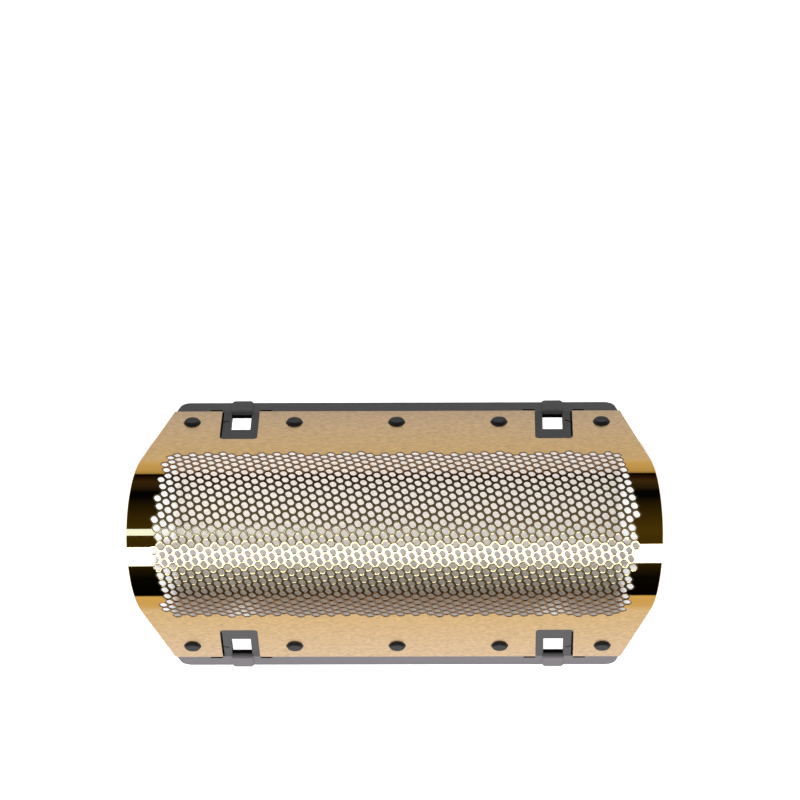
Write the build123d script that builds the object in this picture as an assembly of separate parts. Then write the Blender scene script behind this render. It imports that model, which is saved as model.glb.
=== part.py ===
from build123d import *
import math
import os

# The curved sheet, in millimetres: an arch between two straight legs
foil_length = 45.0
foil_thickness = 0.06
arch_radius = 7.3
leg_angle = 62.0
foil_leg = 8.9

# The ends of the sheet, as they are in the flat before it is bent
end_radius = 33.0
end_taper = 0.26

# The field of holes over the arch. Real ones are 0.52 wide and 0.76 apart: this field is coarser,
# to keep the model light
hole_width = 2.3
web_width = 0.85
field_leg = 1.2
field_end_margin = 1.95

# The rails inside the legs
rail_thickness = 0.8
rail_top = 3.0
rail_overhang = 1.7
rail_end_inset = 0.15
rail_corner = 1.0

# The studs that are melted over the sheet
stud_count = 5
stud_pitch = 8.8
stud_place = 6.75
stud_shank = 1.2
stud_head = 1.5
stud_head_height = 0.22
stud_head_taper = 0.15
stud_clearance = 0.1

# The notches in the sheet, and the latch windows of the rails in them
latch_place = 13.5
notch_width = 3.2
notch_top = 3.7
notch_corner = 0.35
window_width = 1.7
window_shift = 0.1
window_top = 5.5
window_bottom = 8.5
window_ramp = 0.7
window_bulge = 0.12

# The tab below each window
tab_width = 1.8
tab_height = 0.14
tab_corner = 0.45
tab_lead = 0.1
tab_root = 0.4

# The gap beside the split bar, the split across it and the pockets at the edge of the sheet
gap_width = 0.16
gap_depth = 0.4
gap_top = 4.2
gap_bottom = 8.8
split_width = 0.18
split_place = 7.0
split_turn = 28.0
split_stop = 0.19
pocket_length = 1.0
pocket_width = 0.28
pocket_depth = 0.3

# How far cutters run past what they cut, and how many points give each half of a bulged end
cut_margin = 1.0
bulge_points = 6

# Sizes that follow from those above
leg_rad = math.radians(leg_angle)
inner_radius = arch_radius - foil_thickness
rail_bottom = foil_leg + rail_overhang
arch_centre = rail_bottom * math.sin(leg_rad) - inner_radius * math.cos(leg_rad)
overall_height = arch_centre + arch_radius
arch_half = arch_radius * leg_rad
sheet_half = arch_half + foil_leg
taper_start = end_radius * math.sin(math.atan(end_taper))
hole_pitch = hole_width + web_width
hole_column = hole_pitch * math.sqrt(3) / 2
sheet_cut = 4 * foil_thickness
notch_side = latch_place + notch_width / 2
window_place = latch_place - window_shift


def section_point(radius, along):
    """Place and outward direction, in the section, of a point on the rear half."""
    bent = min(along, arch_half) / arch_radius
    straight = max(along - arch_half, 0.0)
    y = radius * math.sin(bent) + straight * math.cos(leg_rad)
    z = arch_centre + radius * math.cos(bent) - straight * math.sin(leg_rad)
    return (y, z), (math.sin(bent), math.cos(bent))


def half_length(along):
    """Half the length of the sheet at a distance from the ridge, in the flat."""
    if along <= taper_start:
        return foil_length / 2 - end_radius + math.sqrt(end_radius ** 2 - along ** 2)
    at_taper = foil_length / 2 - end_radius + math.sqrt(end_radius ** 2 - taper_start ** 2)
    return at_taper - end_taper * (along - taper_start)


def leg_plane(height):
    """Plane on the rear leg: origin at the top of the leg, y down the leg, z outwards."""
    point, outward = section_point(inner_radius + height, arch_half)
    return Plane(origin=(0, point[0], point[1]), x_dir=(1, 0, 0), z_dir=(0, outward[0], outward[1]))


def sheet_section():
    """Section of the sheet across its length: an arch and two legs, one thickness wide."""
    paths = []
    for radius in (arch_radius, inner_radius):
        foot = section_point(radius, sheet_half)[0]
        top = section_point(radius, arch_half)[0]
        ridge = section_point(radius, 0.0)[0]
        paths.append((foot, top, ridge))
    edges = []
    for foot, top, ridge in paths:
        edges.append(Line((-foot[0], foot[1]), (-top[0], top[1])))
        edges.append(ThreePointArc((-top[0], top[1]), ridge, top))
        edges.append(Line(top, foot))
    outer_foot = paths[0][0]
    inner_foot = paths[1][0]
    edges.append(Line(outer_foot, inner_foot))
    edges.append(Line((-outer_foot[0], outer_foot[1]), (-inner_foot[0], inner_foot[1])))
    return Plane.YZ * make_face(edges)


def sheet_plan():
    """Outline of the sheet from above, with bulged ends and tapered legs."""
    bulge = []
    for index in range(-bulge_points, bulge_points + 1):
        along = taper_start * index / bulge_points
        y = math.copysign(section_point(arch_radius, abs(along))[0][0], along)
        bulge.append((half_length(abs(along)), y))
    foot_y = section_point(arch_radius, sheet_half + foil_thickness)[0][0]
    foot_x = half_length(sheet_half + foil_thickness)
    slope = end_taper / math.cos(leg_rad)
    right = Spline(*bulge, tangents=((slope, 1), (-slope, 1)))
    left = mirror(right, about=Plane.YZ)
    edges = [right, left]
    for side in (-1, 1):
        start = bulge[0] if side < 0 else bulge[-1]
        edges.append(Line(start, (foot_x, side * foot_y)))
        edges.append(Line((-start[0], start[1]), (-foot_x, side * foot_y)))
        edges.append(Line((foot_x, side * foot_y), (-foot_x, side * foot_y)))
    return make_face(edges)


def hole_places():
    """Centres of the holes in the flat: staggered columns inside the outline of the field."""
    columns = int(foil_length / 2 / hole_column)
    rows = int(sheet_half / hole_pitch)
    limit = arch_half + field_leg - hole_width / 2
    places = []
    for column in range(-columns, columns + 1):
        x = column * hole_column
        for row in range(-rows, rows + 1):
            along = (row + column % 2 / 2) * hole_pitch
            end = half_length(abs(along)) - field_end_margin - hole_width / 2
            if abs(along) <= limit and abs(x) <= end:
                places.append((x, along))
    return places


def hole_cutter(x, along):
    """A hexagonal prism across the sheet, in line with the sheet's own direction there."""
    side = math.copysign(1.0, along)
    point, outward = section_point(arch_radius, abs(along))
    plane = Plane(
        origin=(x, side * point[0], point[1]),
        x_dir=(1, 0, 0),
        z_dir=(0, side * outward[0], outward[1]),
    )
    hexagon = RegularPolygon(hole_width / 2, 6, major_radius=False)
    return extrude(plane * hexagon, sheet_cut, both=True)


def notch_outline():
    """A notch of the sheet, open at its lower edge, with rounded inner corners."""
    height = foil_leg - notch_top + cut_margin
    shape = Pos(0, notch_top + height / 2) * Rectangle(notch_width, height)
    return fillet(shape.vertices().sort_by(Axis.Y)[:2], notch_corner)


def stud_xs():
    """Places of the studs along the rail."""
    return [(index - (stud_count - 1) / 2) * stud_pitch for index in range(stud_count)]


def make_foil():
    """The bent sheet with its ends, notches, stud holes and field of holes."""
    sheet = extrude(sheet_section(), foil_length / 2 + cut_margin, both=True)
    plan = extrude(sheet_plan(), overall_height + cut_margin, both=True)
    sheet = sheet & plan
    plane = leg_plane(foil_thickness)
    cutters = []
    for side in (-1, 1):
        notch = plane * Pos(side * latch_place, 0) * notch_outline()
        cutters.append(extrude(notch, sheet_cut, both=True))
    for x in stud_xs():
        hole = plane * Pos(x, stud_place) * Circle((stud_shank + stud_clearance) / 2)
        cutters.append(extrude(hole, sheet_cut, both=True))
    cutters = cutters + [mirror(cutter, about=Plane.XZ) for cutter in cutters]
    for x, along in hole_places():
        cutters.append(hole_cutter(x, along))
    return sheet - cutters


def rail_outline():
    """Outline of a rail in the leg's plane, with ends that follow the sheet's taper."""
    points = []
    for side, down in ((-1, rail_top), (1, rail_top), (1, rail_bottom), (-1, rail_bottom)):
        x = half_length(arch_half + down) - rail_end_inset
        points.append((side * x, down))
    shape = make_face(Polyline(*points, close=True))
    return fillet(shape.vertices().sort_by(Axis.Y)[-2:], rail_corner)


def window_cutter():
    """Cutter of a latch window: square to the rail on three sides, and a ramp at the bottom."""
    half = window_width / 2
    low = window_bottom
    bulge = (half - window_bulge, (window_top + low) / 2)
    outline = [
        Polyline((half, low), (-half, low), (-half, window_top), (half, window_top)),
        ThreePointArc((half, window_top), bulge, (half, low)),
    ]
    straight = extrude(make_face(outline), rail_thickness + cut_margin, both=True)
    beyond = -rail_thickness - cut_margin
    ramp_profile = Polyline(
        (window_top, 0.0),
        (low, 0.0),
        (low + window_ramp, -rail_thickness),
        (low + window_ramp, beyond),
        (window_top, beyond),
        close=True,
    )
    ramp = extrude(Plane.YZ * make_face(ramp_profile), half, both=True)
    return straight + ramp


def latch_block(side):
    """The cutters and the tab of one latch, in the leg's plane, for the end that side names."""
    window = window_cutter()
    if side < 0:
        window = mirror(window, about=Plane.YZ)
    cutters = [Pos(side * window_place, 0, 0) * window]

    gap = Box(gap_width, gap_bottom - gap_top, gap_depth * 2)
    gap_x = side * (notch_side - gap_width / 2)
    cutters.append(Pos(gap_x, (gap_top + gap_bottom) / 2, 0) * gap)

    split_length = notch_side - window_place - window_width / 2 - split_stop
    split = Box(split_length, split_width, gap_depth * 2)
    split_x = side * (notch_side - split_length / 2)
    cutters.append(Pos(split_x, split_place, 0) * Rot(0, 0, -side * split_turn) * split)

    for way in (-1, 1):
        pocket_x = side * latch_place + way * (notch_width + pocket_length) / 2
        pocket = Box(pocket_length, pocket_width * 2, pocket_depth * 2)
        cutters.append(Pos(pocket_x, foil_leg, 0) * pocket)

    low = rail_bottom + tab_height
    middle = (window_bottom + low) / 2
    outline = Pos(side * window_place, middle) * Rectangle(tab_width, low - window_bottom)
    outline = fillet(outline.vertices().sort_by(Axis.Y)[-2:], tab_corner)
    tab = extrude(outline, tab_height)
    tab = tab + extrude(outline, -tab_root)
    edge = tab.edges().filter_by(Axis.X).sort_by(Axis.Z)[-2:].sort_by(Axis.Y)[0]
    tab = chamfer(edge, tab_lead)
    return cutters, tab


def stud(x):
    """A stud of the rail: a shank through the sheet and a head spread over it."""
    reach = foil_thickness + stud_head_height
    shank = Pos(x, stud_place, foil_thickness / 2) * Cylinder(stud_shank / 2, reach)
    head = Cone(stud_head / 2, stud_head / 2 - stud_head_taper, stud_head_height)
    return shank + Pos(x, stud_place, foil_thickness + stud_head_height / 2) * head


def make_rear_rail():
    """A rail with its windows, tabs and studs, cut level at the bottom."""
    body = extrude(rail_outline(), -rail_thickness)
    tabs = []
    cutters = []
    for side in (-1, 1):
        cuts, tab = latch_block(side)
        cutters = cutters + cuts
        tabs.append(tab)
    body = body - cutters
    body = body + tabs
    body = body + [stud(x) for x in stud_xs()]
    rail = leg_plane(0.0) * body
    room = Pos(0, 0, overall_height / 2) * Box(foil_length * 2, foil_length * 2, overall_height)
    return rail & room


def main():
    os.makedirs("parts", exist_ok=True)
    rear_rail = make_rear_rail()
    export_step(make_foil(), "parts/foil.step")
    export_step(rear_rail, "parts/rear_rail.step")
    export_step(mirror(rear_rail, about=Plane.XZ), "parts/front_rail.step")


main()
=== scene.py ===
import math

import bpy
import numpy as np
from mathutils import Matrix, Quaternion, Vector
from mathutils.geometry import delaunay_2d_cdt


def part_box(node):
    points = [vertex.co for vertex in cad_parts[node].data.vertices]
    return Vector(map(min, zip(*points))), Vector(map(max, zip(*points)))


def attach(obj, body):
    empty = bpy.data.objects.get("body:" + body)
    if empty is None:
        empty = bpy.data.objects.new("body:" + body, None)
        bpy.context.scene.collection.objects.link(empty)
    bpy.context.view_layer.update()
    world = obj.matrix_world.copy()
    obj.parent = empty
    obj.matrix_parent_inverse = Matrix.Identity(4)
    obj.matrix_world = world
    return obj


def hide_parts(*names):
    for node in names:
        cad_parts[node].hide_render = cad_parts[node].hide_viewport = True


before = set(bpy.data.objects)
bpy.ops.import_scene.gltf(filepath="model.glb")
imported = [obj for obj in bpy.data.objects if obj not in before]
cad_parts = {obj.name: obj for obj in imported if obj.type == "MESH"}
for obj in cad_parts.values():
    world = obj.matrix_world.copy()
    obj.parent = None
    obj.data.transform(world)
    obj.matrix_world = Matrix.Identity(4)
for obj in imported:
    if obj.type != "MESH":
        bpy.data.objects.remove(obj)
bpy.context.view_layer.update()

bl_info = {
    "name": "Shaver Foil Head",
    "version": (1, 0, 0),
    "blender": (4, 5, 0),
    "location": "View3D > Sidebar > Foil Head",
    "description": "Builds a perforated shaver foil with its two rails, and a studio for it",
    "category": "Add Mesh",
}

MM = 0.001
PHOTO_SIZE = 800
FOIL_LOW, FOIL_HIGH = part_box("foil")


def linear(hex_colour):
    """The linear RGBA of an sRGB hex colour."""
    parts = [int(hex_colour[i:i + 2], 16) / 255 for i in (1, 3, 5)]
    turned = [p / 12.92 if p <= 0.04045 else ((p + 0.055) / 1.055) ** 2.4 for p in parts]
    return (*turned, 1.0)


def size(name, description, millimetres):
    """A length that a user may change, given in millimetres."""
    return bpy.props.FloatProperty(
        name=name, description=description, default=millimetres * MM, subtype="DISTANCE", unit="LENGTH",
        precision=6)


def angle(name, description, degrees):
    """An angle that a user may change, given in degrees."""
    return bpy.props.FloatProperty(
        name=name, description=description, default=math.radians(degrees), subtype="ANGLE",
        unit="ROTATION")


def amount(name, description, value):
    """A plain number that a user may change."""
    return bpy.props.FloatProperty(name=name, description=description, default=value, precision=4)


def colour(name, description, hex_colour):
    """A colour that a user may change, given as sRGB hex."""
    return bpy.props.FloatVectorProperty(
        name=name, description=description, default=linear(hex_colour), size=4, min=0, max=1,
        subtype="COLOR")


class FoilSizes(bpy.types.PropertyGroup):
    """Sizes and colours of the bent sheet and of its field of holes."""

    thickness: size("Thickness", "Thickness of the sheet", 0.06)
    radius: size("Arch radius", "Outer radius of the arch", 7.3)
    leg_angle: angle("Leg angle", "Angle between the legs and the floor", 62)
    leg: size("Leg", "Length of each straight leg", 8.9)
    end_radius: size("End radius", "Radius of the bulged ends, in the flat", 33.0)
    end_taper: amount("End taper", "Slope of the ends along the legs, in the flat", 0.26)
    notch_place: size("Notch place", "Distance of the notches from the middle", 13.5)
    notch_width: size("Notch width", "Width of each notch", 3.2)
    notch_top: size("Notch top", "Distance of a notch's inner edge from the top of the leg", 3.7)
    notch_corner: size("Notch corner", "Radius of a notch's inner corners", 0.35)
    stud_hole: size("Stud hole", "Diameter of the holes that the studs pass through", 1.3)
    stud_place: size("Stud place", "Distance of the stud holes from the top of the leg", 6.75)
    stud_pitch: size("Stud pitch", "Distance from stud to stud", 8.8)
    stud_count: bpy.props.IntProperty(name="Studs", description="Studs on each leg", default=5)
    web: size("Web", "Width of the metal between two holes", 0.2)
    field_leg: size("Field on leg", "How far the field of holes runs down each leg", 1.2)
    field_end: size("Field end", "Plain metal between the field and the end of the sheet", 1.9275)
    field_shift: size("Field shift", "How far the field of holes sits to the rear", 0.055)
    edge_round: size("Edge round", "Rounding along the edges of the sheet", 0.04)
    # Painted reflection: the gold plate's colour changes by height, pale at the ridge, deeper on the flanks
    # and paler at the feet
    ridge_reflection_colour: colour("Ridge", "Polished gold plate at the top of the arch", "#F4E3B4")
    flank_reflection_colour: colour("Flank", "Polished gold plate on the steep sides of the arch", "#AA823D")
    leg_colour: colour("Legs", "Satin gold plate at the top of the legs", "#B5935C")
    foot_reflection_colour: colour("Feet", "Satin gold plate at the low edges of the legs", "#BCA07E")
    # Painted shade: the webs are the same gold plate, drawn darker
    web_shade_colour: colour("Webs", "Gold plate on the webs between the holes of the steep sides", "#6D5238")
    # Painted shade: the hole walls are drawn dark, so that each hole has a dark rim
    wall_colour: colour("Hole walls", "Bare etched metal inside the holes", "#6A5C50")


class RailLook(bpy.types.PropertyGroup):
    """Colours of the plastic rails."""

    face_colour: colour("Face", "Plastic in the notches of the sheet", "#4A484A")
    # Painted light: the rim below the sheet is drawn paler where the front light falls on it
    rim_painted_light_colour: colour("Rim", "Rubbed plastic along the lower rim", "#787478")
    # Painted shade: the melted studs are the rail's own plastic, drawn near black
    stud_shade_colour: colour("Studs", "Plastic that was melted over the sheet", "#191819")
    # Painted shade inside the latch windows and the slots
    inside_shade_colour: colour("Insides", "Plastic inside the latch windows and the slots", "#0A0A0A")


class StageLook(bpy.types.PropertyGroup):
    """Camera, lamps, floor and walls of the studio."""

    camera_height: size("Camera height", "Height of the camera over the ridge", 368.7)
    camera_roll: angle("Camera roll", "Turn of the camera about its own line of sight", -0.14)
    pixel: size("Pixel size", "Width of one photo pixel at the ridge", 0.0838)
    key_low: angle("Key from", "Angle from straight up to the near edge of the key lamp", 14.6)
    key_high: angle("Key to", "Angle from straight up to the far edge of the key lamp", 38.9)
    key_turn: angle("Key turn", "Turn of the key lamp in its own plane", 15)
    key_radiance: amount("Key", "Brightness of the key lamp's light, where 1 is white", 12.5)
    face_radiance: amount("Key face", "Brightness of the key lamp in reflections, where 1 is white", 3.4)
    strip_radiance: amount("Strip", "Brightness of the thin lamp's face, where 1 is white", 1.41)
    fill: amount("Fill", "Brightness of the room as soft light", 0.06)
    floor_lift: amount("Floor lift", "Glow of the floor in the picture, round the part", 0.54)
    # Painted shade: the floor's glow under the part, lower under its front half than under its rear half
    rear_painted_lift: amount("Rear lift", "Glow of the floor in the picture, under the rear half", 0.3)
    front_painted_lift: amount("Front lift", "Glow of the floor in the picture, under the front half", 0.11)
    front_wall_colour: colour("Front wall", "Dark wall before the part, in reflections", "#0A0805")
    ceiling_colour: colour("Ceiling", "Brown ceiling over the part, in reflections", "#48380C")
    rear_wall_colour: colour("Rear wall", "Black wall behind the part, in reflections", "#050505")
    door_colour: colour("Door", "Low brown door in the rear wall, in reflections", "#4C3C24")
    end_wall_colour: colour("End walls", "Pale walls past both ends of the part, in reflections", "#D6CFC4")
    # Painted shade: the warm tint of the floor's glow under the part
    painted_shade_colour: colour("Shade", "Colour of the floor's glow under the part", "#FFECDE")


def deselect_all():
    """Leave nothing selected, as every operator acts on what is."""
    for thing in bpy.context.selected_objects:
        thing.select_set(False)


# The two steps from hole to hole on the flat sheet, along the part and from the rear to the front, and
# the centre of one hole
STEP_A = np.array((0.7271, -0.329)) * MM
STEP_B = np.array((-0.5604, -0.413)) * MM
FIRST_HOLE = np.array((-0.7775, -3.41)) * MM
# The one cell inside the field's border that has no hole
PLAIN_CELL = (-25, 2)
# A hole's six neighbours as counts of the two steps, in turning order
NEIGHBOURS = np.array(((1, 0), (0, -1), (-1, -1), (-1, 0), (0, 1), (1, 1)))
# How far along each side of a hole its rounded corners reach
CORNER_SHARE = 0.24
# Numbers of the sheet's materials: the plain metal, the walls of the holes, and the webs between them
PLAIN_SLOT, WALL_SLOT, WEB_SLOT = 0, 1, 2
# Section of a web, from its crest to its lip: share of half a web, share of the thickness, and how far
# the metal leans towards the hole there in degrees
WEB_SECTION = ((0.05, 0.0, 5.0), (0.95, 0.25, 28.0))
# The share of that lean that every side of a hole has
LEAST_LEAN = 0.2
# A web runs along the part if this share of the way towards its hole, or more, lies across the part
LENGTHWISE = 0.8
# The share of the rest that such a web has where it faces the front. Where it faces the rear, it has all
# of the rest in the front half of the arch and none in the rear half
FRONT_LEAN = 0.25
# Section of the sheet's edge, from its top to its bottom: share of the thickness, and how far the metal
# leans outward there in degrees
EDGE_SECTION = ((0.0, 0.0), (0.35, 60.0), (0.65, 120.0), (1.0, 180.0))
# How near to its edges the plain metal has no further points
EDGE_CLEARANCE = 0.13 * MM
# How the painted reflection colour of the flanks turns to that of the legs: share of the arch's height, and
# of the change
FLANK_TO_LEG = ((0.5, 0.0), (0.75, 0.0), (0.82, 0.12), (0.92, 0.55), (1.0, 1.0), (1.15, 1.0))
# The room that the arch mirrors, from the front horizon over the top to the rear one: each side of it and
# where that is seen, in degrees from straight up. One side turns softly to the next
ROOM_SIDES = (
    ("front_wall_colour", -90), ("front_wall_colour", -60), ("ceiling_colour", 5), ("rear_wall_colour", 52),
    ("rear_wall_colour", 60), ("door_colour", 77), ("rear_wall_colour", 90),
)
# Side of the square floor, in metres
FLOOR_SIZE = 4.0
# Distance and width of the key lamp, and of the one that stands for it in reflections, in metres
KEY_DISTANCE, KEY_WIDTH = 0.5, 0.2
FACE_DISTANCE, FACE_WIDTH = 0.49, 0.34
# Place across the part, height and depth of the thin lamp, in metres, and its cool light
STRIP_Y, STRIP_HEIGHT, STRIP_DEPTH = 0.033, 0.5, 0.075
STRIP_TINT = "#DBECFF"
# The thin lamp fades along the part: where each piece of it starts and ends in X, and its share
STRIP_PIECES = ((-0.31, -0.05, 1.0), (-0.05, -0.025, 0.6), (-0.025, 0.0, 0.35), (0.0, 0.03, 0.15))


def half_length(sizes, along):
    """Half the length of the flat sheet at a distance from the ridge."""
    half = (FOIL_HIGH.x - FOIL_LOW.x) / 2
    along = np.abs(along)
    taper_start = sizes.end_radius * math.sin(math.atan(sizes.end_taper))
    bent = np.minimum(along, taper_start)
    bulge = half - sizes.end_radius + np.sqrt(sizes.end_radius ** 2 - bent ** 2)
    return bulge - sizes.end_taper * (along - bent)


def bend(sizes, flat):
    """Places in the part's frame of flat points: across, along from the ridge, and height over the sheet."""
    across, along, height = flat.T
    arch_half = sizes.radius * sizes.leg_angle
    angle = np.clip(along, -arch_half, arch_half) / sizes.radius
    straight = along - angle * sizes.radius
    centre = FOIL_HIGH.z - sizes.radius
    y = (sizes.radius + height) * np.sin(angle) + straight * np.cos(angle)
    z = centre + (sizes.radius + height) * np.cos(angle) - straight * np.sin(angle)
    return np.stack((across, y, z), axis=1)


def bend_directions(sizes, flat, directions):
    """Directions in the part's frame of directions at flat points."""
    arch_half = sizes.radius * sizes.leg_angle
    angle = np.clip(flat[:, 1], -arch_half, arch_half) / sizes.radius
    nx, ns, nh = directions.T
    y = ns * np.cos(angle) + nh * np.sin(angle)
    z = nh * np.cos(angle) - ns * np.sin(angle)
    return np.stack((nx, y, z), axis=1)


class FlatMesh:
    """Vertices on the flat sheet, with faces whose corners carry their own normals."""

    def __init__(self):
        self.points = []
        self.count = 0
        self.faces = []
        self.normals = []
        self.slots = []

    def add_points(self, points):
        """Adds points and returns their numbers."""
        points = np.asarray(points, float).reshape(-1, 3)
        start = self.count
        self.points.append(points)
        self.count += len(points)
        return np.arange(start, self.count)

    def add_faces(self, faces, normals, slot=PLAIN_SLOT):
        """Adds faces, as rows of point numbers, with a normal for each corner."""
        self.faces.append(np.asarray(faces, int))
        self.normals.append(np.asarray(normals, float))
        self.slots.append(np.full(len(faces), slot))

    def make(self, sizes, name):
        """The finished mesh object, bent to shape."""
        flat = np.concatenate(self.points)
        mesh = bpy.data.meshes.new(name)
        rows = [row.tolist() for faces in self.faces for row in faces]
        mesh.from_pydata(bend(sizes, flat), [], rows)
        corners = np.concatenate([faces.reshape(-1) for faces in self.faces])
        normals = np.concatenate([n.reshape(-1, 3) for n in self.normals])
        mesh.polygons.foreach_set("material_index", np.concatenate(self.slots))
        mesh.shade_smooth()
        mesh.normals_split_custom_set(bend_directions(sizes, flat[corners], normals).tolist())
        thing = bpy.data.objects.new(name, mesh)
        bpy.context.collection.objects.link(thing)
        return thing


def inset_cell(inset):
    """Corners of a cell's outline moved in, in turning order: corner k lies past side k."""
    steps = NEIGHBOURS @ np.array((STEP_A, STEP_B))
    lengths = np.linalg.norm(steps, axis=1)
    outward = steps / lengths[:, None]
    reach = lengths / 2 - inset
    corners = []
    for k in range(6):
        n = (k + 1) % 6
        corners.append(np.linalg.solve(np.array((outward[k], outward[n])), np.array((reach[k], reach[n]))))
    return np.array(corners), outward


def rounded_ring(inset):
    """Twelve points round a hole, two on each side, and the way towards the hole at each."""
    corners, outward = inset_cell(inset)
    points, inward = [], []
    for k in range(6):
        start, end = corners[k - 1], corners[k]
        for share in (CORNER_SHARE, 1 - CORNER_SHARE):
            point = start + (end - start) * share
            points.append(point)
            inward.append(-outward[k])
    return np.array(points), np.array(inward)


def hole_cells(sizes):
    """Which cells of the lattice hold a hole, as counts of the two steps, and their centres."""
    most = 60
    span = np.arange(-most, most + 1)
    counts = np.array(np.meshgrid(span, span)).reshape(2, -1).T
    centres = FIRST_HOLE + counts @ np.array((STEP_A, STEP_B))
    hole_half = np.linalg.norm(STEP_B) / 2 - sizes.web / 2
    field = sizes.radius * sizes.leg_angle + sizes.field_leg - hole_half
    along = np.abs(centres[:, 1])
    kept = np.abs(centres[:, 1] - sizes.field_shift) <= field
    kept &= (counts != PLAIN_CELL).any(axis=1)
    kept &= np.abs(centres[:, 0]) <= half_length(sizes, along) - sizes.field_end - hole_half
    return counts[kept], centres[kept]


def lean(ways, degrees):
    """Normals that lean from straight up towards the given level ways, by an angle in degrees."""
    turn = np.radians(degrees)
    turn = np.broadcast_to(turn, ways.shape[:-1])[..., None]
    return np.concatenate((ways * np.sin(turn), np.cos(turn)), axis=-1)


def add_field(sizes, flat):
    """The webs round every hole. Returns the field's outer sides as pairs of corner numbers."""
    counts, centres = hole_cells(sizes)
    corners = inset_cell(0.0)[0]
    # A corner that neighbouring cells share is one point
    keys = 3 * counts[:, None] + NEIGHBOURS[None] + np.roll(NEIGHBOURS, -1, axis=0)[None]
    _, first, which = np.unique(keys.reshape(-1, 2), axis=0, return_index=True, return_inverse=True)
    places = (centres[:, None] + corners[None]).reshape(-1, 2)[first]
    which = which.reshape(-1, 6)
    count = len(counts)
    top = flat.add_points(np.column_stack((places, np.zeros(len(places)))))[which]
    bottom = flat.add_points(np.column_stack((places, np.full(len(places), -sizes.thickness))))[which]

    front = np.clip(-centres[:, 1] / MM, 0, 1)
    up = np.tile((0.0, 0.0, 1.0), (count, 6, 1))
    rings = []
    for share, depth, degrees in WEB_SECTION:
        points, inward = rounded_ring(sizes.web / 2 * share)
        lengthwise = np.abs(inward[:, 1]) > LENGTHWISE
        facing = lengthwise * np.where(inward[:, 1] > 0, front[:, None], FRONT_LEAN)
        degrees = degrees * (LEAST_LEAN + (1 - LEAST_LEAN) * facing)
        numbers = add_ring(flat, centres, points, -depth * sizes.thickness)
        rings.append((numbers, lean(np.tile(inward, (count, 1, 1)), degrees)))
    add_fan_band(flat, top, up, *rings[0], slot=WEB_SLOT)
    for outer, inner in zip(rings, rings[1:]):
        add_band(flat, *outer, *inner, slot=WEB_SLOT)

    points, inward = rounded_ring(sizes.web / 2)
    low = add_ring(flat, centres, points, -sizes.thickness)
    across = lean(np.tile(inward, (count, 1, 1)), 90.0)
    add_band(flat, rings[-1][0], across, low, across, slot=WALL_SLOT)
    down = np.tile((0.0, 0.0, -1.0), (count, 12, 1))
    add_fan_band(flat, bottom, -up, low, down, slot=PLAIN_SLOT, turned=True)

    # The outer sides are those that only one cell has
    sides = np.stack((np.roll(which, 1, axis=1), which), axis=2).reshape(-1, 2)
    ordered = np.sort(sides, axis=1)
    _, index, times = np.unique(ordered, axis=0, return_index=True, return_counts=True)
    return places, sides[index[times == 1]]


def add_ring(flat, centres, points, height):
    """One ring of points round every hole, at a height, as rows of point numbers."""
    placed = centres[:, None] + points[None]
    heights = np.full((*placed.shape[:2], 1), height)
    return flat.add_points(np.concatenate((placed, heights), axis=2)).reshape(placed.shape[:2])


def add_fan_band(flat, outer, outer_normals, inner, inner_normals, slot, turned=False):
    """A band from six corners to a ring of twelve points, in each cell."""
    for k in range(6):
        quad = [(outer, outer_normals, k - 1), (outer, outer_normals, k),
                (inner, inner_normals, 2 * k + 1), (inner, inner_normals, 2 * k)]
        triangle = [(outer, outer_normals, k), (inner, inner_normals, (2 * k + 2) % 12),
                    (inner, inner_normals, 2 * k + 1)]
        for face in (quad, triangle):
            if turned:
                face = face[::-1]
            numbers = np.stack([points[:, i] for points, _, i in face], axis=1)
            normals = np.stack([n[:, i] for _, n, i in face], axis=1)
            flat.add_faces(numbers, normals, slot)


def add_band(flat, outer, outer_normals, inner, inner_normals, slot=PLAIN_SLOT):
    """A band between two rings of as many points, in each cell."""
    last = outer.shape[1]
    for k in range(last):
        n = (k + 1) % last
        numbers = np.stack((outer[:, k], outer[:, n], inner[:, n], inner[:, k]), axis=1)
        normals = np.stack(
            (outer_normals[:, k], outer_normals[:, n], inner_normals[:, n], inner_normals[:, k]), axis=1)
        flat.add_faces(numbers, normals, slot)


def arc_points(centre, radius, start, end, count):
    """Points along an arc, with angles in degrees."""
    angles = np.radians(np.linspace(start, end, count))
    return [centre + radius * np.array((math.cos(a), math.sin(a))) for a in angles]


def edge_outline(sizes):
    """Outline of the flat sheet with its notches, turning left all the way round."""
    arch_steps, leg_steps = 32, 8
    arch_half = sizes.radius * sizes.leg_angle
    foot = arch_half + sizes.leg
    rows = np.concatenate((
        np.linspace(0.0, arch_half, arch_steps, endpoint=False),
        np.linspace(arch_half, foot, leg_steps, endpoint=False)))
    rows = np.concatenate(([-foot], -rows[:0:-1], rows, [foot]))
    right = [np.array((half_length(sizes, s), s)) for s in rows]
    rear = []
    for place in (sizes.notch_place, -sizes.notch_place):
        rear += notch_points(sizes, place, foot, arch_half + sizes.notch_top)
    left = [-p for p in right]
    front = [-p for p in rear]
    return np.array(right + rear + left + front)


def notch_points(sizes, place, foot, inner):
    """One notch of the rear edge, walked from its right side to its left."""
    count = 7
    half, corner = sizes.notch_width / 2, sizes.notch_corner
    points = [np.array((place + half, foot))]
    points += arc_points(np.array((place + half - corner, inner + corner)), corner, 0, -90, count)
    points += arc_points(np.array((place - half + corner, inner + corner)), corner, -90, -180, count)
    return points + [np.array((place - half, foot))]


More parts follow.
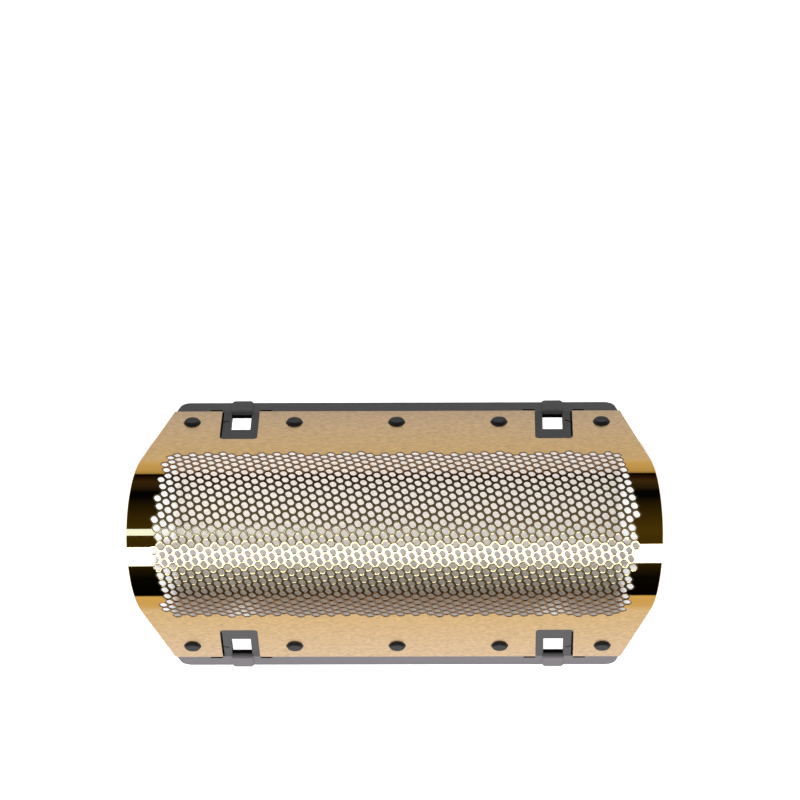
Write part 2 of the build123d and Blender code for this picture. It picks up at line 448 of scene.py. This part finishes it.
def moved_in(outline, distance):
    """A closed outline that turns left, moved in, and the outward way at each of its points."""
    before = outline - np.roll(outline, 1, axis=0)
    after = np.roll(outline, -1, axis=0) - outline
    ways = []
    for a, b in zip(before, after):
        out_a = np.array((a[1], -a[0])) / np.linalg.norm(a)
        out_b = np.array((b[1], -b[0])) / np.linalg.norm(b)
        middle = out_a + out_b
        ways.append(middle / (1 + out_a @ out_b))
    ways = np.array(ways)
    return outline - ways * distance, ways / np.linalg.norm(ways, axis=1)[:, None]


def inside(points, sides):
    """Which points lie inside sides given as pairs of places, by counting crossings."""
    found = np.zeros(len(points), bool)
    for (ax, ay), (bx, by) in sides:
        if ay == by:
            continue
        spans = (points[:, 1] > ay) != (points[:, 1] > by)
        cross = ax + (points[:, 1] - ay) * (bx - ax) / (by - ay)
        found ^= spans & (points[:, 0] < cross)
    return found


def ring_sides(first, count):
    """Pairs of numbers round a closed ring of points."""
    return [(first + i, first + (i + 1) % count) for i in range(count)]


def free_points(sizes):
    """Extra points on the plain bent ends, so that the arch stays round there."""
    rows = 63
    setbacks = np.arange(0.3, 2.4, 0.42) * MM
    arch_half = sizes.radius * sizes.leg_angle
    points = []
    for along in np.linspace(-arch_half, arch_half, rows):
        reach = half_length(sizes, along)
        for back in setbacks:
            points += [(reach - back, along), (back - reach, along)]
    return np.array(points)


def fill(fixed, edges, free):
    """Triangles that face up and fill closed loops of edges, and all the points that they use: the
    loops' own and the free ones that lie clear of them."""
    convex_hull, tolerance = 0, 1e-5
    segments = [(fixed[a], fixed[b]) for a, b in edges]
    clear = np.array([np.min(np.linalg.norm(fixed - p, axis=1)) > EDGE_CLEARANCE for p in free])
    every = np.concatenate((fixed, free[clear & inside(free, segments)]))
    result = delaunay_2d_cdt([Vector(p / MM) for p in every], edges, [], convex_hull, tolerance)
    number = np.array([origins[0] for origins in result[3]])
    triangles = number[np.array(result[2])]
    triangles = triangles[inside(every[triangles].mean(axis=1), segments)]
    first, second, third = every[triangles].transpose(1, 0, 2)
    turned = np.cross(second - first, third - first) < 0
    triangles[turned] = triangles[turned][:, ::-1]
    return triangles, every


def add_plain_sheet(sizes, flat, places, sides):
    """The plain metal round the field, with its edges, notches and stud holes."""
    hole_points = 32
    outline = edge_outline(sizes)
    inner, outward = moved_in(outline, sizes.edge_round)
    loops = [inner]
    arch_half = sizes.radius * sizes.leg_angle
    for index in range(sizes.stud_count):
        x = (index - (sizes.stud_count - 1) / 2) * sizes.stud_pitch
        for side in (-1, 1):
            centre = np.array((x, side * (arch_half + sizes.stud_place)))
            ring = arc_points(centre, sizes.stud_hole / 2, 0, 360, hole_points + 1)
            loops.append(np.array(ring[:-1]))

    # The field's outer corners come first, so that the webs and the plain metal share them
    used = np.unique(sides)
    renumber = {old: new for new, old in enumerate(used)}
    points = [places[used]]
    edges = [(renumber[a], renumber[b]) for a, b in sides]
    start = len(used)
    starts = []
    for loop in loops:
        starts.append(start)
        edges += ring_sides(start, len(loop))
        points.append(loop)
        start += len(loop)
    triangles, every = fill(np.concatenate(points), edges, free_points(sizes))

    new = every[len(used):]
    above = flat.add_points(np.column_stack((new, np.zeros(len(new)))))
    below = flat.add_points(np.column_stack((new, np.full(len(new), -sizes.thickness))))
    top = np.concatenate((used, above))
    bottom = np.concatenate((used + len(places), below))
    up = np.tile((0.0, 0.0, 1.0), (len(triangles), 3, 1))
    flat.add_faces(top[triangles], up)
    flat.add_faces(bottom[triangles][:, ::-1], -up)
    add_edge(sizes, flat, outline, outward, top[starts[0]:starts[1]], bottom[starts[0]:starts[1]])
    for first, loop in zip(starts[1:], loops[1:]):
        add_hole_wall(flat, loop, top[first:first + len(loop)], bottom[first:first + len(loop)])


def add_edge(sizes, flat, outline, outward, top, bottom):
    """The rounded edge of the sheet all the way round."""
    rings = []
    for depth, degrees in EDGE_SECTION[1:-1]:
        height = np.full((len(outline), 1), -depth * sizes.thickness)
        rings.append(flat.add_points(np.hstack((outline, height)))[None])
    rings = [top[None], *rings, bottom[None]]
    ways = [lean(outward, degrees)[None] for _, degrees in EDGE_SECTION]
    for k in range(len(rings) - 1):
        add_band(flat, rings[k + 1], ways[k + 1], rings[k], ways[k])


def add_hole_wall(flat, loop, top, bottom):
    """The straight wall of a stud hole."""
    inward = loop.mean(axis=0) - loop
    ways = lean(inward / np.linalg.norm(inward, axis=1)[:, None], 90.0)[None]
    add_band(flat, top[None], ways, bottom[None], ways)


def make_foil(sizes):
    """The whole sheet as one piece that replaces the plain solid. It is worked out on the flat and
    then bent, which keeps over a thousand holes exact on the curve."""
    flat = FlatMesh()
    places, sides = add_field(sizes, flat)
    add_plain_sheet(sizes, flat, places, sides)
    foil = flat.make(sizes, "perforated_foil")
    plain = gold_plate(
        "gold_plated_foil", sizes, sizes.flank_reflection_colour, sizes.leg_colour, polish=0.035, metal=1.0)
    # The webs get a darker copy of the gold as painted shade, and a rougher finish
    webs = gold_plate(
        "gold_plated_webs", sizes, sizes.web_shade_colour, sizes.web_shade_colour, polish=0.14, metal=0.93)
    # In the order of PLAIN_SLOT, WALL_SLOT and WEB_SLOT
    for material in (plain, etched_hole_wall(sizes), webs):
        foil.data.materials.append(material)
    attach(foil, "root")
    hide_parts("foil")
    return foil


def add_node(tree, kind, settings=None, links=None):
    """One node with its settings, and links from other nodes' sockets to its inputs."""
    node = tree.nodes.new(kind)
    for name, value in (settings or {}).items():
        if isinstance(name, int) or name in node.inputs:
            node.inputs[name].default_value = value
        else:
            setattr(node, name, value)
    for name, source in (links or {}).items():
        tree.links.new(source, node.inputs[name])
    return node


def new_material(name):
    """An empty node material and its output."""
    material = bpy.data.materials.new(name)
    material.use_nodes = True
    tree = material.node_tree
    tree.nodes.clear()
    return material, tree, add_node(tree, "ShaderNodeOutputMaterial")


def gold_plate(name, sizes, flank_reflection_colour, leg_colour, polish, metal):
    """Gold-plated nickel. The arch is a mirror, and its colour runs by height as a painted reflection: pale
    at the ridge, deeper on the steep sides and paler at the feet. The legs have a satin grain that spreads
    the light. The webs are duller than the plain metal, and drawn darker as painted shade."""
    satin_start, satin_full, satin_roughness = 0.35 * MM, -0.1 * MM, 0.27
    sand_width, sand_stretch, sand_noise, sand_tones = 0.2 * MM, 0.45, (0.3, 0.7), (0.86, 1.14)
    grain_width, grain_depth, grain_strength = 0.16 * MM, 0.02 * MM, 0.35
    material, tree, output = new_material(name)
    place = add_node(tree, "ShaderNodeTexCoord").outputs["Object"]
    height = add_node(tree, "ShaderNodeSeparateXYZ", links={"Vector": place}).outputs["Z"]
    drop = sizes.radius * (1 - math.cos(sizes.leg_angle))
    tangent = FOIL_HIGH.z - drop
    share = add_node(tree, "ShaderNodeMapRange", {
        "From Min": FOIL_HIGH.z, "From Max": FOIL_LOW.z}, {"Value": height}).outputs["Result"]
    arch = drop / (FOIL_HIGH.z - FOIL_LOW.z)
    # Painted reflection: the colour runs by height, from the pale ridge through the deeper flanks to the
    # legs and the paler feet
    ramp = add_node(tree, "ShaderNodeValToRGB", links={"Fac": share})
    steps = ramp.color_ramp.elements
    steps[0].position, steps[0].color = 0.2 * arch, sizes.ridge_reflection_colour
    steps[1].position, steps[1].color = 1.0, sizes.foot_reflection_colour
    for position, weight in FLANK_TO_LEG:
        step = steps.new(position * arch)
        step.color = [f + (l - f) * weight for f, l in zip(flank_reflection_colour, leg_colour)]
    satin = add_node(tree, "ShaderNodeMapRange", {
        "From Min": tangent + satin_start, "From Max": tangent + satin_full}, {
        "Value": height}).outputs["Result"]
    # Sandy grain 0.2 mm wide and about twice as long along the part, and a finer one in the bump
    drawn = add_node(tree, "ShaderNodeMapping", {"Scale": (sand_stretch, 1.0, 1.0)}, {"Vector": place})
    sand = add_node(tree, "ShaderNodeTexNoise", {"Scale": 1 / sand_width, "Detail": 2.0}, {
        "Vector": drawn.outputs[0]})
    tone = add_node(tree, "ShaderNodeMapRange", {
        "From Min": sand_noise[0], "From Max": sand_noise[1], "To Min": sand_tones[0],
        "To Max": sand_tones[1]}, {"Value": sand.outputs["Fac"]})
    sandy = add_node(tree, "ShaderNodeHueSaturation", links={
        "Value": tone.outputs[0], "Fac": satin, "Color": ramp.outputs["Color"]})
    rough = add_node(tree, "ShaderNodeMapRange", {"To Min": polish, "To Max": satin_roughness}, {
        "Value": satin})
    grain = add_node(tree, "ShaderNodeTexNoise", {"Scale": 1 / grain_width, "Detail": 2.0}, {
        "Vector": place})
    strength = add_node(tree, "ShaderNodeMath", {"operation": "MULTIPLY", 1: grain_strength}, {0: satin})
    bump = add_node(tree, "ShaderNodeBump", {"Distance": grain_depth}, {
        "Height": grain.outputs["Fac"], "Strength": strength.outputs[0]})
    surface = add_node(tree, "ShaderNodeBsdfPrincipled", {"Metallic": metal}, {
        "Base Color": sandy.outputs[0], "Roughness": rough.outputs[0], "Normal": bump.outputs[0]})
    tree.links.new(surface.outputs[0], output.inputs["Surface"])
    return material


def etched_hole_wall(sizes):
    """Etched nickel inside the holes: dull, and drawn dark as painted shade, so that each hole has a crisp
    dark rim.
    """
    material, tree, output = new_material("etched_hole_wall")
    surface = add_node(tree, "ShaderNodeBsdfPrincipled", {
        "Base Color": sizes.wall_colour, "Metallic": 1.0, "Roughness": 0.55})
    tree.links.new(surface.outputs[0], output.inputs["Surface"])
    return material


def moulded_black_plastic(sizes, look):
    """Black ABS from a fine-grained mould: dark grey where the light falls on it, with painted light that
    makes the rim below the sheet paler, more at the front, and painted shade that makes the melted studs and
    the insides of the windows and slots black."""
    rim_edge, rear_painted_light_share = 0.06 * MM, 0.4
    sunk_start, sunk_full = 0.12 * MM, 0.2 * MM
    slot_middle, slot_half, slot_height = 0.55 * MM, 0.5 * MM, 0.3 * MM
    edge_radius, stud_edge_radius = 0.06 * MM, 0.3 * MM
    grain_width, grain_depth, grain_strength = 0.14 * MM, 0.012 * MM, 0.4
    specular, painted_shade_specular = 0.14, 0.02
    material, tree, output = new_material("moulded_black_plastic")
    place = add_node(tree, "ShaderNodeTexCoord").outputs["Object"]
    apart = add_node(tree, "ShaderNodeSeparateXYZ", links={"Vector": place}).outputs
    away = {}
    for axis in ("X", "Y"):
        away[axis] = add_node(tree, "ShaderNodeMath", {"operation": "ABSOLUTE"}, {0: apart[axis]}).outputs[0]
    # Painted light below the sheet's edge, where the light from the front falls on the rim, and less of it
    # in the rear
    rim = add_node(tree, "ShaderNodeMapRange", {
        "From Min": FOIL_LOW.z + rim_edge, "From Max": FOIL_LOW.z - rim_edge}, {"Value": apart["Z"]})
    less = add_node(tree, "ShaderNodeMapRange", {
        "From Min": -MM, "From Max": MM, "To Min": 1.0, "To Max": rear_painted_light_share}, {"Value": apart["Y"]})
    rim = add_node(tree, "ShaderNodeMath", {"operation": "MULTIPLY"}, {
        0: rim.outputs["Result"], 1: less.outputs["Result"]})
    # How far each point lies out from the leg's own plane, where the sheet's outer face is
    sine, cosine = math.sin(sizes.leg_angle), math.cos(sizes.leg_angle)
    plane = sizes.radius + (FOIL_HIGH.z - sizes.radius) * cosine
    across = add_node(tree, "ShaderNodeMath", {"operation": "MULTIPLY", 1: sine}, {0: away["Y"]})
    out = add_node(tree, "ShaderNodeMath", {"operation": "MULTIPLY_ADD", 1: cosine}, {
        0: apart["Z"], 2: across.outputs[0]}).outputs[0]
    # The studs stand proud of the sheet, and so do the raised tabs, which are lower down. The studs get
    # painted shade
    proud = add_node(tree, "ShaderNodeMath", {"operation": "GREATER_THAN", 1: plane}, {0: out})
    above = add_node(tree, "ShaderNodeMath", {"operation": "GREATER_THAN", 1: FOIL_LOW.z + MM}, {
        0: apart["Z"]})
    stud = add_node(tree, "ShaderNodeMath", {"operation": "MULTIPLY"}, {
        0: proud.outputs[0], 1: above.outputs[0]}).outputs[0]
    # The walls of the windows and the inside lie deeper than the face of the rail, and get painted shade
    sunk = add_node(tree, "ShaderNodeMapRange", {
        "From Min": plane - sunk_start, "From Max": plane - sunk_full}, {"Value": out}).outputs["Result"]
    # The slots beside the notches, at the low edge of the sheet, get painted shade too
    far = add_node(tree, "ShaderNodeMath", {"operation": "SUBTRACT", 1: sizes.notch_place}, {
        0: away["X"]})
    far = add_node(tree, "ShaderNodeMath", {"operation": "ABSOLUTE"}, {0: far.outputs[0]})
    beside = add_node(tree, "ShaderNodeMath", {
        "operation": "COMPARE", 1: sizes.notch_width / 2 + slot_middle, 2: slot_half}, {
        0: far.outputs[0]})
    level = add_node(tree, "ShaderNodeMath", {
        "operation": "COMPARE", 1: FOIL_LOW.z, 2: slot_height}, {0: apart["Z"]})
    slot = add_node(tree, "ShaderNodeMath", {"operation": "MULTIPLY"}, {
        0: beside.outputs[0], 1: level.outputs[0]})
    deep_shade = add_node(tree, "ShaderNodeMath", {"operation": "MAXIMUM"}, {
        0: slot.outputs[0], 1: sunk}).outputs[0]
    tint = add_node(tree, "ShaderNodeMix", {
        "data_type": "RGBA", 6: look.face_colour, 7: look.rim_painted_light_colour}, {"Factor": rim.outputs[0]})
    # Painted shade: the studs, and the windows and slots, are drawn near black over the plastic's colour
    for mask, over in ((stud, look.stud_shade_colour), (deep_shade, look.inside_shade_colour)):
        tint = add_node(tree, "ShaderNodeMix", {"data_type": "RGBA", 7: over}, {
            "Factor": mask, 6: tint.outputs[2]})
    soft = add_node(tree, "ShaderNodeMapRange", {
        "To Min": edge_radius, "To Max": stud_edge_radius}, {"Value": stud})
    edges = add_node(tree, "ShaderNodeBevel", {"samples": 6}, {"Radius": soft.outputs[0]})
    # The grain of the mould, drawn as coarse as it has to be for the render to show it
    grain = add_node(tree, "ShaderNodeTexNoise", {"Scale": 1 / grain_width, "Detail": 3.0}, {
        "Vector": place})
    bump = add_node(tree, "ShaderNodeBump", {"Distance": grain_depth, "Strength": grain_strength}, {
        "Height": grain.outputs["Fac"], "Normal": edges.outputs[0]})
    # Painted shade: the windows and slots also mirror less light
    shine = add_node(tree, "ShaderNodeMapRange", {"To Min": specular, "To Max": painted_shade_specular}, {
        "Value": deep_shade})
    surface = add_node(tree, "ShaderNodeBsdfPrincipled", {"IOR": 1.52, "Roughness": 0.4}, {
        "Base Color": tint.outputs[2], "Normal": bump.outputs[0],
        "Specular IOR Level": shine.outputs["Result"]})
    tree.links.new(surface.outputs[0], output.inputs["Surface"])
    return material


def pale_paper(look):
    """White paper sweep: matt, lifted to white where it is seen, and darker in the part's own shade. Under
    the part its glow is lowered as painted shade, with painted light through the latch windows and from the
    left.
    It can't be seen from below, so that the underside can be looked at."""
    smooth = {"interpolation_type": "SMOOTHSTEP"}
    shade_edges = {"X": (18.9 * MM, 19.7 * MM), "Y": (5.0 * MM, 9.0 * MM)}
    band_middle, band_edge, band_end = -1.75 * MM, (0.8 * MM, 1.4 * MM), 21.0 * MM
    halves_meet = (-1.2 * MM, 2.0 * MM)
    side_reach, right_share, left_share = 18.0 * MM, 0.85, 1.35
    rear_start, rear_turn, rear_end, rear_shares = 12.0 * MM, 12.5 * MM, 26.0 * MM, (0.15, 0.95)
    window_edge, window_painted_light = (7.8 * MM, 8.4 * MM), 2.0
    material, tree, output = new_material("pale_paper")
    ray = add_node(tree, "ShaderNodeLightPath").outputs
    place = add_node(tree, "ShaderNodeTexCoord").outputs["Object"]
    apart = add_node(tree, "ShaderNodeSeparateXYZ", links={"Vector": place}).outputs
    # Where the painted shade under the part fades out, along the part and across it
    away, beyond = {}, {}
    for axis, (inner, outer) in shade_edges.items():
        away[axis] = add_node(tree, "ShaderNodeMath", {"operation": "ABSOLUTE"}, {0: apart[axis]}).outputs[0]
        beyond[axis] = add_node(tree, "ShaderNodeMapRange", {
            **smooth, "From Min": inner, "From Max": outer}, {"Value": away[axis]}).outputs["Result"]
    # In a band below the bright one of the arch, the painted shade reaches further out along the part
    band = add_node(tree, "ShaderNodeMath", {"operation": "SUBTRACT", 1: band_middle}, {0: apart["Y"]})
    band = add_node(tree, "ShaderNodeMath", {"operation": "ABSOLUTE"}, {0: band.outputs[0]})
    band = add_node(tree, "ShaderNodeMapRange", {
        **smooth, "From Min": band_edge[0], "From Max": band_edge[1]}, {"Value": band.outputs[0]})
    far = add_node(tree, "ShaderNodeMath", {"operation": "GREATER_THAN", 1: band_end}, {0: away["X"]})
    band = add_node(tree, "ShaderNodeMath", {"operation": "MAXIMUM"}, {
        0: band.outputs[0], 1: far.outputs[0]})
    along = add_node(tree, "ShaderNodeMath", {"operation": "MULTIPLY"}, {
        0: beyond["X"], 1: band.outputs[0]})
    clear = add_node(tree, "ShaderNodeMath", {"operation": "MAXIMUM"}, {
        0: along.outputs[0], 1: beyond["Y"]}).outputs[0]
    # Painted shade: the glow under the front half is lower than under the rear half
    shade = add_node(tree, "ShaderNodeMapRange", {
        **smooth, "From Min": halves_meet[0], "From Max": halves_meet[1],
        "To Min": look.front_painted_lift, "To Max": look.rear_painted_lift}, {"Value": apart["Y"]})
    # Painted light: the light from the left reaches further in under the part
    left = add_node(tree, "ShaderNodeMapRange", {
        "From Min": side_reach, "From Max": -side_reach, "To Min": right_share, "To Max": left_share}, {
        "Value": apart["X"]})
    shade = add_node(tree, "ShaderNodeMath", {"operation": "MULTIPLY"}, {
        0: shade.outputs["Result"], 1: left.outputs["Result"]})
    level = add_node(tree, "ShaderNodeMapRange", {"To Max": look.floor_lift}, {
        "Value": clear, "To Min": shade.outputs[0]})
    # Painted shade: the paper behind the part is dimmer in its mirror image, most of all close to the part
    behind = add_node(tree, "ShaderNodeMapRange", {
        **smooth, "From Min": rear_start, "From Max": rear_turn}, {"Value": apart["Y"]})
    rear_painted_shade = add_node(tree, "ShaderNodeMapRange", {
        "From Min": rear_start, "From Max": rear_end, "To Min": rear_shares[0],
        "To Max": rear_shares[1]}, {"Value": apart["Y"]})
    kept = add_node(tree, "ShaderNodeMix", {2: 1.0}, {
        "Factor": behind.outputs["Result"], 3: rear_painted_shade.outputs["Result"]}).outputs[0]
    mirrored = add_node(tree, "ShaderNodeMath", {"operation": "MULTIPLY"}, {
        0: ray["Is Glossy Ray"], 1: kept})
    # Painted light: the floor that shows through the latch windows is as white as the rest
    window = add_node(tree, "ShaderNodeMapRange", {
        "From Min": window_edge[0], "From Max": window_edge[1], "To Min": 1.0, "To Max": window_painted_light}, {
        "Value": away["Y"]})
    direct = add_node(tree, "ShaderNodeMath", {"operation": "MULTIPLY_ADD"}, {
        0: ray["Is Camera Ray"], 1: window.outputs["Result"], 2: mirrored.outputs[0]})
    lift = add_node(tree, "ShaderNodeMath", {"operation": "MULTIPLY"}, {
        0: direct.outputs[0], 1: level.outputs[0]})
    # Painted shade: the glow under the part is warmer
    hue = add_node(tree, "ShaderNodeMix", {
        "data_type": "RGBA", 6: look.painted_shade_colour, 7: linear("#FFFFFF")}, {"Factor": clear})
    glow = add_node(tree, "ShaderNodeEmission", links={
        "Color": hue.outputs[2], "Strength": lift.outputs[0]})
    matt = add_node(tree, "ShaderNodeBsdfDiffuse", {"Color": linear("#F6F6F6")})
    both = add_node(tree, "ShaderNodeAddShader", links={0: glow.outputs[0], 1: matt.outputs[0]})
    back = add_node(tree, "ShaderNodeNewGeometry").outputs["Backfacing"]
    bare = add_node(tree, "ShaderNodeBsdfTransparent")
    shown = add_node(tree, "ShaderNodeMixShader", links={0: back, 1: both.outputs[0], 2: bare.outputs[0]})
    tree.links.new(shown.outputs[0], output.inputs["Surface"])
    return material


def add_camera(look):
    """A camera nearly straight above the ridge, with the object below the middle of the picture."""
    foil_pixel = Vector((394.0, 535.0))
    eye_offset = Vector((8.4 * MM, 3.8 * MM))
    sensor_width = 36.0
    ridge = FOIL_HIGH.z
    middle = PHOTO_SIZE / 2
    aim = Vector(((middle - foil_pixel.x) * look.pixel, (foil_pixel.y - middle) * look.pixel, ridge))
    eye = Vector((eye_offset.x, eye_offset.y, ridge + look.camera_height))
    bpy.ops.object.camera_add(location=eye)
    camera = bpy.context.object
    camera.name = "photo_camera"
    forward = (aim - eye).normalized()
    right = forward.cross(Vector((0, 1, 0))).normalized()
    right = Matrix.Rotation(-look.camera_roll, 3, forward) @ right
    up = right.cross(forward)
    camera.matrix_world = Matrix((
        (right.x, up.x, -forward.x, eye.x),
        (right.y, up.y, -forward.y, eye.y),
        (right.z, up.z, -forward.z, eye.z),
        (0, 0, 0, 1),
    ))
    camera.data.sensor_width = sensor_width
    camera.data.lens = sensor_width * (aim - eye).length / (PHOTO_SIZE * look.pixel)
    camera.data.clip_end = 20
    bpy.context.scene.camera = camera


def add_lamp(name, place, aim, width, depth, radiance, turn=0.0, tint="#FFFFFF"):
    """A rectangular lamp whose long side runs along X, turned towards a point."""
    deselect_all()
    bpy.ops.object.light_add(type="AREA", location=place)
    lamp = bpy.context.object
    lamp.name = name
    facing = (Vector(aim) - Vector(place)).to_track_quat("-Z", "Y")
    lamp.rotation_euler = (facing @ Quaternion((0, 0, 1), turn)).to_euler()
    lamp.data.shape = "RECTANGLE"
    lamp.data.size, lamp.data.size_y = width, depth
    lamp.data.energy = radiance * math.pi * width * depth
    lamp.data.color = linear(tint)[:3]
    return lamp


def add_arched_lamp(name, low, high, distance, width, radiance, turn):
    """A lamp that spans two angles from straight up, positive towards the rear."""
    middle = (low + high) / 2
    depth = 2 * distance * math.tan(abs(high - low) / 2)
    place = (0, distance * math.sin(middle), distance * math.cos(middle))
    return add_lamp(name, place, (0, 0, FOIL_HIGH.z), width, depth, radiance, turn)


def add_room(look):
    """A dark warm room in reflections, an even soft light on what is matt, and white behind all."""
    smooth = {"interpolation_type": "SMOOTHSTEP"}
    side_edge, side_loss = (0.03, 0.2), 0.75
    end_edge = (0.25, 0.5)
    world = bpy.context.scene.world or bpy.data.worlds.new("studio")
    bpy.context.scene.world = world
    world.use_nodes = True
    tree = world.node_tree
    tree.nodes.clear()
    ray = add_node(tree, "ShaderNodeLightPath").outputs
    way = add_node(tree, "ShaderNodeTexCoord").outputs["Generated"]
    apart = add_node(tree, "ShaderNodeSeparateXYZ", links={"Vector": way}).outputs
    tilt = add_node(tree, "ShaderNodeMath", {"operation": "ARCTAN2"}, {0: apart["Y"], 1: apart["Z"]})
    share = add_node(tree, "ShaderNodeMapRange", {
        "From Min": -math.pi / 2, "From Max": math.pi / 2}, {"Value": tilt.outputs[0]})
    ramp = add_node(tree, "ShaderNodeValToRGB", links={"Fac": share.outputs["Result"]})
    steps = ramp.color_ramp.elements
    steps.remove(steps[1])
    for side, degrees in ROOM_SIDES:
        step = steps.new((degrees + 90) / 180)
        step.color = getattr(look, side)
    steps.remove(steps[0])
    # The sides of the room are darker, which the webs across the part mirror
    sideways = add_node(tree, "ShaderNodeMath", {"operation": "ABSOLUTE"}, {0: apart["X"]})
    dimmed = add_node(tree, "ShaderNodeMapRange", {
        **smooth, "From Min": side_edge[0], "From Max": side_edge[1], "To Max": side_loss}, {
        "Value": sideways.outputs[0]})
    # Pale walls stand past both ends, which the part mirrors when it is seen from aside
    ends = add_node(tree, "ShaderNodeMapRange", {
        **smooth, "From Min": end_edge[0], "From Max": end_edge[1]}, {"Value": sideways.outputs[0]})
    # Each layer covers the ones before it: what it shows, and where or to which rays
    soft = (look.fill, look.fill, look.fill, 1.0)
    glow = ramp.outputs["Color"]
    for over, mask in (
            (linear("#000000"), dimmed.outputs["Result"]), (look.end_wall_colour, ends.outputs["Result"]),
            (soft, ray["Is Diffuse Ray"]), (linear("#FFFFFF"), ray["Is Camera Ray"])):
        glow = add_node(tree, "ShaderNodeMix", {"data_type": "RGBA", 7: over}, {
            "Factor": mask, 6: glow}).outputs[2]
    room = add_node(tree, "ShaderNodeBackground", {"Strength": 1.0}, {"Color": glow})
    output = add_node(tree, "ShaderNodeOutputWorld")
    tree.links.new(room.outputs[0], output.inputs["Surface"])


def make_stage(look):
    """Floor, camera, lamps and the dark room."""
    add_camera(look)
    deselect_all()
    bpy.ops.mesh.primitive_plane_add(size=FLOOR_SIZE)
    floor = bpy.context.object
    floor.name = "floor"
    floor.data.materials.append(pale_paper(look))
    # The key lamp is two, as its mirror image is dimmer than its light on matt surfaces. The one that
    # reflections show is a little nearer, because a hidden lamp still covers what is behind it
    span = (-look.key_low, -look.key_high)
    key = add_arched_lamp("key", *span, KEY_DISTANCE, KEY_WIDTH, look.key_radiance, look.key_turn)
    key.visible_glossy = False
    add_arched_lamp("key_face", *span, FACE_DISTANCE, FACE_WIDTH, look.face_radiance, look.key_turn)
    for start, end, share in STRIP_PIECES:
        place = Vector(((start + end) / 2, STRIP_Y, STRIP_HEIGHT))
        add_lamp("strip", place, (place.x, place.y, 0), end - start, STRIP_DEPTH,
                 look.strip_radiance * share, tint=STRIP_TINT)
    add_room(look)
    bpy.context.scene.view_settings.view_transform = "Standard"


class FOILHEAD_OT_sheet(bpy.types.Operator):
    """Build the perforated gold foil over its plain solid"""

    bl_idname = "foilhead.sheet"
    bl_label = "Perforated Foil"

    def execute(self, context):
        make_foil(context.scene.foil_sizes)
        return {"FINISHED"}


class FOILHEAD_OT_rails(bpy.types.Operator):
    """Give both rails, with their studs and latches, the finish of moulded plastic"""

    bl_idname = "foilhead.rails"
    bl_label = "Plastic Rails"

    def execute(self, context):
        plastic = moulded_black_plastic(context.scene.foil_sizes, context.scene.rail_look)
        for name in ("rear_rail", "front_rail"):
            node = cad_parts[name]
            node.data.materials.clear()
            node.data.materials.append(plastic)
        return {"FINISHED"}


class FOILHEAD_OT_stage(bpy.types.Operator):
    """Set up the floor, the lamps and the camera"""

    bl_idname = "foilhead.stage"
    bl_label = "Studio"

    def execute(self, context):
        make_stage(context.scene.stage_look)
        return {"FINISHED"}


class FOILHEAD_PT_sidebar(bpy.types.Panel):
    """The steps of the foil head, in order"""

    bl_idname = "FOILHEAD_PT_sidebar"
    bl_label = "Foil Head"
    bl_space_type = "VIEW_3D"
    bl_region_type = "UI"
    bl_category = "Foil Head"

    def draw(self, context):
        for group in (context.scene.foil_sizes, context.scene.rail_look, context.scene.stage_look):
            box = self.layout.box()
            for name in group.__annotations__:
                box.prop(group, name)
        for step in (FOILHEAD_OT_sheet, FOILHEAD_OT_rails, FOILHEAD_OT_stage):
            self.layout.operator(step.bl_idname)


GROUPS = {"foil_sizes": FoilSizes, "rail_look": RailLook, "stage_look": StageLook}
CLASSES = (*GROUPS.values(), FOILHEAD_OT_sheet, FOILHEAD_OT_rails, FOILHEAD_OT_stage, FOILHEAD_PT_sidebar)


def register():
    for cls in CLASSES:
        bpy.utils.register_class(cls)
    for name, group in GROUPS.items():
        setattr(bpy.types.Scene, name, bpy.props.PointerProperty(type=group))


def unregister():
    for name in GROUPS:
        delattr(bpy.types.Scene, name)
    for cls in reversed(CLASSES):
        bpy.utils.unregister_class(cls)


def main():
    register()
    bpy.ops.foilhead.sheet()
    bpy.ops.foilhead.rails()
    bpy.ops.foilhead.stage()


if __name__ == "__main__":
    main()
